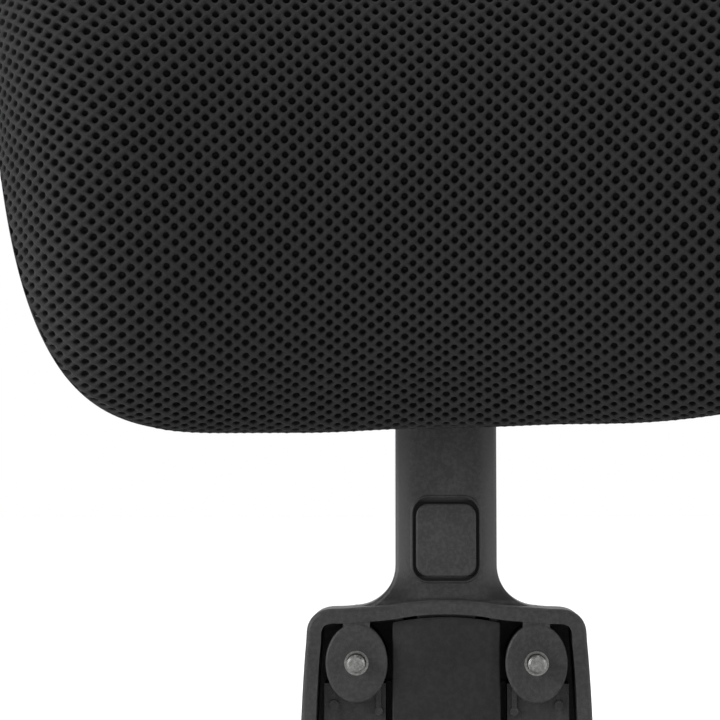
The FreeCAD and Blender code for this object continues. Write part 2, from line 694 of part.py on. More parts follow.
def edge_strip():
    """The plastic strip sewn to the cover's hem and trapped under the rear shell."""
    y0, y1 = PAD_BACK - COVER_T, PAD_BACK - 0.1
    low, high = PAD_Z - PAD_HALF_H - 5, PAD_Z + PAD_HALF_H + 5
    section = Part.makePolygon([V(0, y0, low), V(0, y1, low), V(0, y1, high), V(0, y0, high), V(0, y0, low)])
    ring = prism(pad_outline(HEM + 0.1), -160, 20).cut(prism(pad_outline(HEM + 2.6), -161, 21))
    return bent(Part.Face(section)).common(ring)


def back_shell():
    """The rear shell, with a window for the hinge bracket and countersunk screw holes."""
    y0 = PAD_BACK + 0.05
    shell = bent_plate(y0, y0 + SHELL_T, 6.5)
    half_w, half_h = HINGE_PLATE
    cuts = [rounded_block(0, PIVOT_Z, half_w + 0.6, half_h + 0.6, 6.6, y0 - 3, y0 + 6)]
    for x, z in SHELL_SCREWS:
        cuts.append(about_bend(rod_y(0, z, 1.6, y0 - 2, y0 + 6), x))
        cuts.append(about_bend(rod_y(0, z, 3.1, y0 + 1.0, y0 + 6), x))
    return shell.cut(Part.makeCompound(cuts))


def small_screw(head_y, length):
    """A pan-head screw along -Y at the origin's X and Z, with its head's underside at head_y."""
    screw = rod_y(0, 0, 1.15, head_y - length, head_y).fuse(rod_y(0, 0, 2.8, head_y, head_y + 1.4))
    slot_a = box(-1.5, 1.5, head_y + 0.6, head_y + 3, -0.35, 0.35)
    slot_b = box(-0.35, 0.35, head_y + 0.6, head_y + 3, -1.5, 1.5)
    return screw.removeSplitter().cut(slot_a.fuse(slot_b))


def shell_screws():
    """Four screws through the rear shell into the carrier."""
    screws = []
    for x, z in SHELL_SCREWS:
        screw = small_screw(PAD_BACK + 1.05, 6.0)
        screw.translate(V(0, 0, z))
        screws.append(about_bend(screw, x))
    return Part.makeCompound(screws)


def hinge_screws():
    """Four screws through the hinge bracket into the carrier."""
    screws = []
    for x, z in on_corners(48.0, 32.0, PIVOT_Z):
        screw = small_screw(PAD_BACK - COVER_T + 2.4, 5.0)
        screw.translate(V(x, 0, z))
        screws.append(screw)
    return Part.makeCompound(screws)


# ---- all parts ----------------------------------------------------------------------------------------


def group(make, places):
    """Identical pieces at several places, as one node."""
    return Part.makeCompound([make(x, z) for x, z in places])


def main():
    nodes = {
        "mount_frame": mount_frame(),
        "channel_cover": channel_cover(),
        "rear_cover": rear_cover(),
        "bolt_sleeves": group(sleeve, BOLTS),
        "mounting_bolts": group(mounting_bolt, BOLTS),
        "bolt_washers": group(washer, BOLTS),
        "cover_screws": group(cover_screw, COVER_SCREWS),
        "upper_guide_bush": upper_guide_bush(),
        "lower_guide_bush": lower_guide_bush(),
        "post": post(),
        "end_stop_pin": end_stop_pin(),
        "hinge_bush": hinge_bush(),
        "release_button": release_button(),
        "latch_stirrup": latch_stirrup(),
        "latch_spring": latch_spring(),
        "hinge_bracket": hinge_bracket(),
        "hinge_bolt": hinge_bolt(),
        "hinge_nut": hinge_nut(),
        "friction_washers": friction_washers(),
        "spring_washers": spring_washers(),
        "hinge_cap_left": hinge_cap(-1),
        "hinge_cap_right": hinge_cap(1),
        "hinge_screws": hinge_screws(),
        "pad_carrier": pad_carrier(),
        "foam_cushion": foam_cushion(),
        "mesh_cover": mesh_cover(),
        "edge_strip": edge_strip(),
        "back_shell": back_shell(),
        "shell_screws": shell_screws(),
    }
    os.makedirs("parts", exist_ok=True)
    for name, shape in nodes.items():
        solids = shape.Solids
        good = all(s.isValid() and s.isClosed() and s.Volume > 0 for s in solids)
        print(f"{name}: {len(solids)} solid(s), {sum(s.Volume for s in solids) / 1000:.2f} cm3, ok {good}")
        shape.exportStep(f"parts/{name}.step")


main()
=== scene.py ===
"""Chair headrest attachment: a mesh headrest on a sliding post, with a friction hinge and a bracket."""

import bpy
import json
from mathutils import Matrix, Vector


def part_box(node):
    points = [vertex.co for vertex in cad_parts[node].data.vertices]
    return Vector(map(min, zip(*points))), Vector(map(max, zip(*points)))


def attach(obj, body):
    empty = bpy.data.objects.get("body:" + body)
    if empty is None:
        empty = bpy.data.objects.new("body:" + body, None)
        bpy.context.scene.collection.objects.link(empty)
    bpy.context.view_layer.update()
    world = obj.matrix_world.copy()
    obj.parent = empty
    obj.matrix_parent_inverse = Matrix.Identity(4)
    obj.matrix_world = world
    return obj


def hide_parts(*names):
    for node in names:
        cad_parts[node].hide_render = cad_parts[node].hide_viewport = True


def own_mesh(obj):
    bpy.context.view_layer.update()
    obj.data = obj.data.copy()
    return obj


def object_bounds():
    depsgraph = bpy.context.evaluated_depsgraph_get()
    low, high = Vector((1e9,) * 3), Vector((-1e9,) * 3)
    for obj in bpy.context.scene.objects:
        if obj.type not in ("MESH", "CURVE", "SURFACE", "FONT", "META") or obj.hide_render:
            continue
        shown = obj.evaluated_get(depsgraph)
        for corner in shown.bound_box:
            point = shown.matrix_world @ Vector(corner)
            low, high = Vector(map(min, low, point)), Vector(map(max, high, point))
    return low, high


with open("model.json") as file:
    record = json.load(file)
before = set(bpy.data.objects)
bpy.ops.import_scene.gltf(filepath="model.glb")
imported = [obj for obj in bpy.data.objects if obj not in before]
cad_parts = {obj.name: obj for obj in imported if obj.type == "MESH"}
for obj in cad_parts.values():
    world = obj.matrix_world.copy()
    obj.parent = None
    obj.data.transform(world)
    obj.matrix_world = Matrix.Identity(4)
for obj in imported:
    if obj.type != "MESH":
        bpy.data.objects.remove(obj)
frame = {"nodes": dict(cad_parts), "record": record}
CAD_BOX = [list(corner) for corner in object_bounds()]

import json
import math

import bmesh
import bpy
import numpy as np
from bpy.props import FloatProperty, FloatVectorProperty, PointerProperty
from mathutils import Vector

bl_info = {
    "name": "Chair Headrest Attachment",
    "version": (1, 0, 0),
    "blender": (4, 5, 0),
    "location": "3D View > Sidebar > Headrest",
    "description": "Builds a mesh headrest's cover, foam, hem and finishes round its mechanical frame",
    "category": "Add Mesh",
}

MM = 0.001
PAPER_GLOW = 0.14  # the floor's own light, which hides its far edge
LENS_SENSOR = 36.0
ACROSS_POWER = 8  # the pad's outline is a superellipse with this power across it
UPWARD_POWER = 2.7  # and this one up it


# ---- settings -----------------------------------------------------------------------------------------


def length(name, description, default):
    """A length setting in metres."""
    return FloatProperty(name=name, description=description, default=default, unit="LENGTH", precision=5)


def colour(name, description, default):
    """A colour setting."""
    return FloatVectorProperty(
        name=name, description=description, default=default, size=3, min=0, max=1, subtype="COLOR"
    )


class PadSettings(bpy.types.PropertyGroup):
    """Sizes of the headrest's cushion"""

    half_width: length("Half width", "From the middle of the pad to its side, at its middle height", 0.140)
    taper: FloatProperty(name="Taper", description="How much wider the pad gets upwards", default=0.08)
    half_height: length("Half height", "From the middle of the pad to its top", 0.0935)
    middle: length("Middle height", "Height of the pad's middle above the bolt pattern", 0.198)
    bulge: length("Bulge", "How far the middle stands in front of the lip", 0.047)
    lip: length("Lip", "Depth of the plain edge behind the mesh", 0.005)
    bend: length("Bend", "Plan radius of the rear of the cover", 0.4015)
    crown: length("Crown", "Radius of the front face, seen from the side", 0.120)
    crown_rise: length("Crown rise", "How far above the middle the front face stands out most", 0.002)
    crown_reach: length("Crown reach", "Height above the middle at which the edge roll begins", 0.081)
    sag: FloatProperty(
        name="Sag", description="Slope of the pad's rows and hem across its width", default=0.028
    )
    skew: FloatProperty(name="Skew", description="Slope of the knitted rows on the pad", default=0.010)
    back: length("Back", "Where the rear of the cover lies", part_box("mesh_cover")[1][1])


class MeshSettings(bpy.types.PropertyGroup):
    """Sizes of the mesh fabric"""

    across: length("Across", "Half the spacing of the holes along a row", 0.00257)
    upward: length("Upward", "Half the spacing of the holes up a column", 0.00232)
    hole: length("Hole", "Radius of a hole", 0.00106)
    ridge: length("Ridge", "How far the yarn stands out between holes", 0.00034)
    depth: length("Depth", "Depth of a hole", 0.0017)
    uneven: length("Unevenness", "How far a hole may lie off the even pattern", 0.00012)
    crowding: FloatProperty(
        name="Crowding", description="How much closer the rows lie at the hem than at the crown", default=4.4
    )
    droop: FloatProperty(
        name="Droop", description="How much further out the rows lie at the pad's ends", default=360.0
    )
    droop_reach: length("Droop reach", "Distance from the middle past which the rows straighten", 0.08)
    droop_hem: length("Droop hem", "Height above or below the middle past which the rows close up", 0.105)
    lean: FloatProperty(name="Lean", description="How much the rows fan out across the pad", default=0.36)
    stretch: FloatProperty(
        name="Stretch", description="How much wider the holes stand at the pad's ends", default=210.0
    )


class FinishSettings(bpy.types.PropertyGroup):
    """Colours of the finishes"""

    plastic: colour("Plastic", "Moulded nylon of the bracket", (0.0215, 0.0215, 0.0218))
    yarn: colour("Yarn", "Mesh fabric's yarn", (0.0074, 0.0074, 0.0076))
    shade: colour("Shade", "Inside the mesh's holes", (0.0009, 0.0009, 0.0009))
    zinc: colour("Zinc", "Plated steel", (0.165, 0.165, 0.16))
    paint: colour("Paint", "Powder coat on the post", (0.011, 0.011, 0.0115))
    foam: colour("Foam", "Cut foam", (0.012, 0.012, 0.0125))
    nylon: colour("Nylon", "Natural nylon of the washers", (0.70, 0.68, 0.62))


class StageSettings(bpy.types.PropertyGroup):
    """Camera and floor"""

    aim: FloatVectorProperty(
        name="Aim", description="Where the camera looks", default=(-0.0283, 0, 0.1276), size=3, unit="LENGTH"
    )
    distance: length("Distance", "From the camera to its aim", 0.70)
    height: length("Height", "Height of the camera", 0.080)
    azimuth: FloatProperty(
        name="Azimuth", description="Turn of the camera round the object", default=math.radians(2),
        subtype="ANGLE"
    )
    lens: FloatProperty(name="Lens", description="Focal length", default=106.0, unit="CAMERA")
    floor: length("Floor", "Height of the floor", CAD_BOX[0][2] - 0.002)


# ---- shader building ----------------------------------------------------------------------------------


class Value:
    """A shader value. Arithmetic on it adds Math nodes."""

    def __init__(self, finish, socket):
        self.finish = finish
        self.socket = socket

    def math(self, operation, *others):
        """A Math node with this value first."""
        return self.finish.math(operation, self, *others)

    def __add__(self, other):
        return self.math("ADD", other)

    def __sub__(self, other):
        return self.math("SUBTRACT", other)

    def __mul__(self, other):
        return self.math("MULTIPLY", other)

    def __truediv__(self, other):
        return self.math("DIVIDE", other)

    def __rsub__(self, other):
        return self.finish.math("SUBTRACT", other, self)

    __radd__ = __add__
    __rmul__ = __mul__

    def between(self, low, high):
        """0 below low, 1 above high, and smooth between."""
        sockets = {"Value": self, "From Min": low, "From Max": high}
        return self.finish.node("MapRange", {"interpolation_type": "SMOOTHSTEP"}, sockets)


class Finish:
    """A material, and the one method that adds its nodes."""

    def __init__(self, name, constants=None):
        self.material = bpy.data.materials.new(name)
        self.material.use_nodes = True
        self.tree = self.material.node_tree
        self.shader = self.tree.nodes["Principled BSDF"]
        for socket, value in (constants or {}).items():
            self.shader.inputs[socket].default_value = value

    def node(self, kind, settings=None, sockets=None, out=0):
        """Adds a node of a type, sets it up, feeds its sockets, and gives one of its outputs."""
        made = self.tree.nodes.new("ShaderNode" + kind)
        for name, value in (settings or {}).items():
            setattr(made, name, value)
        for name, value in (sockets or {}).items():
            if isinstance(value, Value):
                self.tree.links.new(value.socket, made.inputs[name])
            else:
                made.inputs[name].default_value = value
        return Value(self, made.outputs[out])

    def math(self, operation, *values):
        """A Math node."""
        return self.node("Math", {"operation": operation}, dict(enumerate(values)))

    def place(self):
        """The object's own coordinates, in metres."""
        return self.node("TexCoord", out="Object")

    def axes(self):
        """The object's own coordinates as three values."""
        x = self.node("SeparateXYZ", {}, {0: self.place()})
        return [Value(self, socket) for socket in x.socket.node.outputs]

    def stretch(self, scale):
        """The object's coordinates, stretched."""
        return self.node("Mapping", {}, {"Vector": self.place(), "Scale": scale})

    def noise(self, size, detail=2.0, at=None, roughness=0.5):
        """Noise from 0 to 1 whose features are about that many metres across."""
        sockets = {"Scale": 1 / size, "Detail": detail, "Roughness": roughness}
        sockets["Vector"] = at or self.place()
        return self.node("TexNoise", {}, sockets)

    def mix(self, factor, first, second):
        """A blend of two colours."""
        ends = [value if isinstance(value, Value) else (*value, 1) for value in (first, second)]
        return self.node("Mix", {"data_type": "RGBA"}, {0: factor, 6: ends[0], 7: ends[1]}, out=2)

    def bump(self, height, distance, strength=1.0):
        """Feeds the shader's normal from a height."""
        sockets = {"Height": height, "Distance": distance, "Strength": strength}
        self.feed("Normal", self.node("Bump", {}, sockets))

    def feed(self, socket, value):
        """Links a value to one of the shader's sockets, or sets it there."""
        if isinstance(value, Value):
            self.tree.links.new(value.socket, self.shader.inputs[socket])
        elif hasattr(value, "__len__"):
            self.shader.inputs[socket].default_value = (*value, 1)
        else:
            self.shader.inputs[socket].default_value = value


def scaled(rgb, factor):
    """A colour made lighter or darker."""
    return tuple(min(1.0, part * factor) for part in rgb)


def moulded_plastic(name, rgb, grain=0.00045, depth=0.00010, roughness=0.42, patches=None):
    """Satin moulded plastic: spark-eroded grain, flow mottling and faint rub marks.

    patches gives painted shade in recesses, gaps and hollows, a painted highlight on the neck's long edges,
    and where the plastic is raised."""
    made = Finish(name, {"Specular IOR Level": 0.12})
    grainy = made.noise(grain, 3, roughness=0.6)
    broad = made.noise(0.02, 3)
    rub = made.noise(0.004, 4, at=made.stretch((1.0, 1.0, 0.16)), roughness=0.7).between(0.56, 0.74)
    mottle = made.noise(grain * 3.4, 3, roughness=0.6).between(0.4, 0.65)
    cloud = broad.between(0.3, 0.7) * 0.3 + mottle * 0.38 + 0.16
    tone = made.mix(cloud, scaled(rgb, 0.55), scaled(rgb, 1.45))
    tone = made.mix(rub * 0.35, tone, scaled(rgb, 1.6))
    tone = made.mix(grainy.between(0.45, 0.75) * 0.4, tone, scaled(rgb, 1.5))
    if patches:
        painted_shade, painted_edge_highlight, raised = patches(made)
        # painted highlight: the neck's long edges are made lighter, as side light would make them
        tone = made.mix(painted_edge_highlight, tone, scaled(rgb, 1.95))
        # painted shade: recesses, the gap round the button, the flares and the stem below the button are
        # darkened to 0.12 of the tone
        tone = made.mix(painted_shade, tone, scaled(rgb, 0.12))
    made.feed("Base Color", tone)
    made.feed("Roughness", broad * 0.10 + grainy * 0.12 + (roughness - 0.11) - rub * 0.05)
    height = grainy + made.noise(grain * 3.2, 2) * 0.6
    if patches:
        height = height + raised * 4.5
    made.bump(height, depth)
    return made.material


def bracket_patches(made):
    """Painted shade in the bracket's deep recesses, the gap round its button, the flares above its arch and
    the stem below its button; a painted highlight on the long edges of its neck; and the lip round its
    button, as masks.

    Each pair of numbers bounds a mask's soft edge, in metres."""
    x, y, z = made.axes()
    side = x.math("ABSOLUTE")
    inside_rim = (1 - side.between(0.0350, 0.0365)) * (1 - z.between(0.040, 0.042))
    round_bosses = y.between(0.0012, 0.0030) * z.between(0.0212, 0.0218)
    # painted shade in the deep pockets and beside the round bosses, inside the rim
    pocket_shade = y.between(0.0045, 0.0085).math("MAXIMUM", round_bosses) * inside_rim
    # painted shade in the gap round the button: the window's walls are darkened between 3.1 and 4.0 mm deep
    window_depth = y.between(0.0031, 0.0040) * (1 - side.between(0.0113, 0.0118))
    window = window_depth * z.between(0.052, 0.054) * (1 - z.between(0.083, 0.085))
    # painted highlight on the neck's sides, 9 to 17 mm out, from 50 mm up
    painted_edge_highlight = side.between(0.009, 0.017) * z.between(0.050, 0.062)
    half_width, half_height, corner_radius, middle = 0.0057, 0.0085, 0.0051, 0.0685
    across = (side - half_width).math("MAXIMUM", 0.0)
    upward = ((z - middle).math("ABSOLUTE") - half_height).math("MAXIMUM", 0.0)
    off_window = (across * across + upward * upward).math("SQRT") - corner_radius
    front = 1 - y.between(0.006, 0.007)
    lip = (off_window.between(-0.0002, 0.0003) - off_window.between(0.0004, 0.0011)) * front
    # painted shade on the neck's flares just above the arch
    flare_shade = side.between(0.007, 0.018) * z.between(0.0478, 0.0488) * (1 - z.between(0.0490, 0.0590))
    # painted shade on the middle of the stem just below the button
    below = (1 - side.between(0.006, 0.014)) * z.between(0.050, 0.053) * (1 - z.between(0.055, 0.060))
    # first mask: painted shade; second: painted highlight; third: the raised lip for the bump
    return pocket_shade + window + flare_shade * 0.7 + below * 0.22, painted_edge_highlight, lip


def knitted_mesh(name, rgb, shade):
    """Knitted mesh: two crossing runs of looped yarn, lighter on the ridges as painted highlight, fuzz, and
    holes darkened with painted shade.
    """
    sheen = {"Sheen Weight": 0.03, "Sheen Roughness": 0.5, "Sheen Tint": (0.6, 0.6, 0.62, 1)}
    made = Finish(name, {"Specular IOR Level": 0.10} | sheen)
    uv = made.node("SeparateXYZ", {}, {0: made.node("UVMap", {"uv_map": "knit"})})
    across = uv
    upward = Value(made, uv.socket.node.outputs[1])
    depth = made.node("Attribute", {"attribute_name": "depth"}, out="Fac")
    runs = []
    for along, over in ((across - upward, across + upward), (across + upward, across - upward)):
        off = over.math("FLOORED_MODULO", 2.0) - 1.0
        gap = off.math("ABSOLUTE")
        loop = (along * 5.0 + gap * 2.6) * math.pi
        wave = loop.math("SINE") * 0.5 + 0.5
        body = 1.0 - gap.between(0.16, 0.62)
        runs.append((body, wave))
    (body_a, wave_a), (body_b, wave_b) = runs
    yarn = (body_a * (wave_a * 0.5 + 0.5)).math("MAXIMUM", body_b * (wave_b * 0.5 + 0.5))
    fuzz = made.noise(0.00016, 3, roughness=0.65)
    patch = made.noise(0.012, 3)
    # yarn loop pattern, with painted highlight on the ridges between holes and painted shade toward the holes
    tone = made.mix(yarn, scaled(rgb, 0.62), scaled(rgb, 1.45))
    tone = made.mix(patch.between(0.35, 0.7) * 0.3, tone, scaled(rgb, 1.25))
    tone = made.mix(fuzz.between(0.55, 0.8) * 0.5, tone, scaled(rgb, 1.9))
    # painted shade: the hole walls blend to the shade colour as the depth attribute's darkness rises
    made.feed("Base Color", made.mix(depth.between(0.2, 0.72), tone, shade))
    made.feed("Roughness", 0.66 + fuzz * 0.2)
    made.bump(yarn + fuzz * 0.35, 0.00016)
    return made.material


def pile_and_hole_shade(name, rgb):
    """The pile between the mesh's two faces, seen through its holes, coloured near black as painted shade."""
    made = Finish(name, {"Specular IOR Level": 0.0})
    pile = made.noise(0.0003, 3, at=made.stretch((1.0, 0.3, 1.0)))
    made.feed("Base Color", made.mix(pile.between(0.4, 0.7), scaled(rgb, 0.6), scaled(rgb, 1.8)))
    made.feed("Roughness", 0.85 + pile * 0.1)
    made.bump(pile, 0.0002)
    return made.material


def ribbed_tape(name, rgb):
    """Knitted edge tape: fine ribs along its length."""
    made = Finish(name, {"Specular IOR Level": 0.15})
    uv = made.node("UVMap", {"uv_map": "tape"})
    ribs = made.node("TexWave", {"bands_direction": "Y"}, {"Vector": uv, "Scale": 3.2, "Distortion": 0.4})
    cross = made.node("TexWave", {"bands_direction": "X"}, {"Vector": uv, "Scale": 900.0, "Distortion": 0.3})
    fuzz = made.noise(0.0002, 3)
    weave = ribs * 0.6 + cross * 0.4
    made.feed("Base Color", made.mix(weave * 0.7 + fuzz * 0.3, scaled(rgb, 0.6), scaled(rgb, 1.5)))
    made.feed("Roughness", 0.7 + fuzz * 0.15)
    made.bump(weave + fuzz * 0.3, 0.00018)
    return made.material


def cut_foam(name, rgb):
    """Open-cell foam."""
    made = Finish(name, {"Specular IOR Level": 0.2})
    cells = made.node("TexVoronoi", {"feature": "F1"}, {"Vector": made.place(), "Scale": 900.0})
    fine = made.noise(0.0006, 3)
    made.feed("Base Color", made.mix(cells, scaled(rgb, 1.2), scaled(rgb, 0.5)))
    made.feed("Roughness", 0.85 + fine * 0.1)
    made.bump(cells + fine * 0.4, 0.0003)
    return made.material


def plated_steel(name, rgb, roughness=0.3):
    """Zinc-plated steel: bright, with a fine crystalline mottle."""
    made = Finish(name, {"Metallic": 1.0})
    mottle = made.noise(0.0009, 4, roughness=0.7)
    fine = made.noise(0.00018, 2)
    made.feed("Base Color", made.mix(mottle.between(0.3, 0.75), scaled(rgb, 0.62), scaled(rgb, 1.18)))
    made.feed("Roughness", roughness - 0.08 + mottle * 0.2 + fine * 0.08)
    made.bump(mottle * 0.6 + fine, 0.00003)
    return made.material


def powder_coat(name, rgb):
    """Satin powder coat: orange peel and a few scuffs."""
    made = Finish(name, {"Specular IOR Level": 0.5})
    peel = made.noise(0.0011, 2)
    scuff = made.noise(0.003, 4, at=made.stretch((1.0, 1.0, 0.06)), roughness=0.7).between(0.58, 0.72)
    made.feed("Base Color", made.mix(scuff * 0.4, rgb, scaled(rgb, 2.2)))
    made.feed("Roughness", 0.34 + peel * 0.08 + scuff * 0.1)
    made.bump(peel, 0.00006)
    return made.material


# ---- mesh helpers -------------------------------------------------------------------------------------


def deselect():
    """Nothing selected, so that an operator acts only on what is made next."""
    bpy.ops.object.select_all(action="DESELECT")


def finish_piece(obj, body, material, replaced=()):
    """Gives a piece its material, its body and the frame's nodes it stands for."""
    obj.data.materials.clear()
    obj.data.materials.append(material)
    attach(obj, body)
    if replaced:
        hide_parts(*replaced)
    return obj


def select_edges(obj, wanted):
    """Enters edit mode with only the edges selected whose two ends pass a test."""
    bpy.ops.object.mode_set(mode="EDIT")
    bpy.ops.mesh.select_mode(type="EDGE")
    bpy.ops.mesh.select_all(action="DESELECT")
    shape = bmesh.from_edit_mesh(obj.data)
    for edge in shape.edges:
        edge.select_set(bool(wanted(*(vert.co for vert in edge.verts))))
    bmesh.update_edit_mesh(obj.data)


def mesh_piece(name, points, faces):
    """An object from points and faces, in smooth shading."""
    mesh = bpy.data.meshes.new(name)
    mesh.from_pydata([tuple(p) for p in points], [], [tuple(f) for f in faces])
    mesh.update()
    obj = bpy.data.objects.new(name, mesh)
    bpy.context.scene.collection.objects.link(obj)
    mesh.polygons.foreach_set("use_smooth", [True] * len(mesh.polygons))
    return obj


def scatter(i, j):
    """A fixed, uneven number from -1 to 1 for each hole of the mesh."""
    return math.sin(i * 12.99 + j * 78.23 + 3.1 * math.sin(i * 4.7 - j * 2.3))


class PadShape:
    """The cover's outer form.

    s runs across the pad from -1 to 1, and t up it from -1 to 1. Fabric coordinates u and v are lengths
    along the surface from the pad's middle."""

    SAMPLES = 260
    CLOSING = 2.4  # how much closer the steps across lie near the sides
    ROLL_POWER = 9  # how late the front face rolls off towards the sides

    def __init__(self, pad):
        self.pad = pad
        self.axis_y = pad.back - pad.bend
        self.radius = pad.bend - pad.lip
        self.profiles = [self.side_profile(rise) for rise in (-pad.crown_rise, pad.crown_rise)]
        steps = np.linspace(0, 1, self.SAMPLES)
        middle = self.point(steps, np.zeros_like(steps))
        self.u_of_s = self.running_length(middle)
        self.s_steps = steps
        self.reach = self.u_of_s[-1]
        self.v_steps = np.linspace(0, 0.135, 200)
        self.t_tables, self.ends = [], []
        for way in (1, -1):
            columns = [self.running_length(self.point(np.full_like(steps, s), way * steps)) for s in steps]
            self.t_tables.append(np.array([np.interp(self.v_steps, along, steps) for along in columns]))
            self.ends.append(np.array([along[-1] for along in columns]))

    def running_length(self, points):
        """Length from the first point to each."""
        gaps = np.linalg.norm(np.diff(points, axis=0), axis=1)
        return np.concatenate([[0.0], np.cumsum(gaps)])

    def side_profile(self, rise):
        """Height and bulge along half of the front face, as shares of their full sizes, against t."""
        pad = self.pad
        start = math.asin((pad.crown_reach + rise) / pad.crown)
        z = np.linspace(0, pad.crown_reach, 60)
        h = pad.bulge - pad.crown + np.sqrt(pad.crown**2 - (z + rise) ** 2)
        reach = pad.half_height - z[-1]
        p0 = np.array([z[-1], h[-1]])
        p1 = p0 + 0.62 * reach * np.array([math.cos(start), -math.sin(start)])
        p3 = np.array([pad.half_height, 0.0])
        p2 = p3 + np.array([0.0, 0.30 * h[-1] + 0.001])
        k = np.linspace(0, 1, 40)[1:, None]
        roll = (1 - k) ** 3 * p0 + 3 * k * (1 - k) ** 2 * p1 + 3 * k**2 * (1 - k) * p2 + k**3 * p3
        z, h = np.concatenate([z, roll[:, 0]]), np.concatenate([h, roll[:, 1]])
        t = self.running_length(np.stack([z, h], axis=1))
        return t / t[-1], z / pad.half_height, h / pad.bulge

    def point(self, s, t):
        """Points on the form."""
        pad = self.pad
        share = 1 - (1 - np.abs(s)) ** self.CLOSING
        x = pad.half_width * share * np.sign(s)
        tall = pad.half_height * (1 - share**ACROSS_POWER) ** (1 / UPWARD_POWER)
        deep = pad.bulge * (1 - share**self.ROLL_POWER) ** 0.5
        upper, lower = ([np.interp(np.abs(t), half[0], row) for row in half[1:]] for half in self.profiles)
        z = tall * np.where(t > 0, upper[0], -lower[0])
        h = deep * np.where(t > 0, upper[1], lower[1])
        return self.bent(x * (1 + pad.taper * z / pad.half_height), z, h)

    def bent(self, x, z, h):
        """A point h in front of the bent lip surface."""
        angle = np.arcsin(x / self.radius)
        r = self.radius - h
        return np.stack(
            [r * np.sin(angle), self.axis_y + r * np.cos(angle), self.pad.middle + z + self.pad.sag * x],
            axis=-1,
        )

    def normal(self, s, t):
        """Outward normals."""
        step = 0.004
        s0, s1 = np.clip(s - step, -1, 1), np.clip(s + step, -1, 1)
        t0, t1 = np.clip(t - step, -1, 1), np.clip(t + step, -1, 1)
        n = np.cross(self.point(s1, t) - self.point(s0, t), self.point(s, t1) - self.point(s, t0))
        size = np.linalg.norm(n, axis=1, keepdims=True)
        outward = self.point(s, t) - np.array([0, self.axis_y + self.radius, self.pad.middle])
        outward[:, 1] = 0
        outward /= np.linalg.norm(outward, axis=1, keepdims=True) + 1e-9
        return np.where(size > 1e-11, n / (size + 1e-15), outward)

    def on_form(self, u, v):
        """s and t at fabric coordinates, held at the hem where they pass it."""
        s = np.interp(np.abs(u), self.u_of_s, self.s_steps)
        row = s * (self.SAMPLES - 1)
        i = np.clip(row.astype(int), 0, self.SAMPLES - 2)
        f = row - i
        column = np.clip(np.abs(v) / self.v_steps[-1], 0, 1) * (len(self.v_steps) - 1)
        j = np.clip(column.astype(int), 0, len(self.v_steps) - 2)
        g = column - j
        halves = []
        for table in self.t_tables:
            t = (table[i, j] * (1 - g) + table[i, j + 1] * g) * (1 - f)
            halves.append(t + (table[i + 1, j] * (1 - g) + table[i + 1, j + 1] * g) * f)
        return s * np.sign(u), np.where(v > 0, halves[0], -halves[1])

    def half_length(self, u, v):
        """Length of the surface from its middle line to the hem, at u, on v's side."""
        s = np.interp(abs(u), self.u_of_s, self.s_steps)
        return np.interp(s, self.s_steps, self.ends[0] if v > 0 else self.ends[1])


# ---- operators ----------------------------------------------------------------------------------------


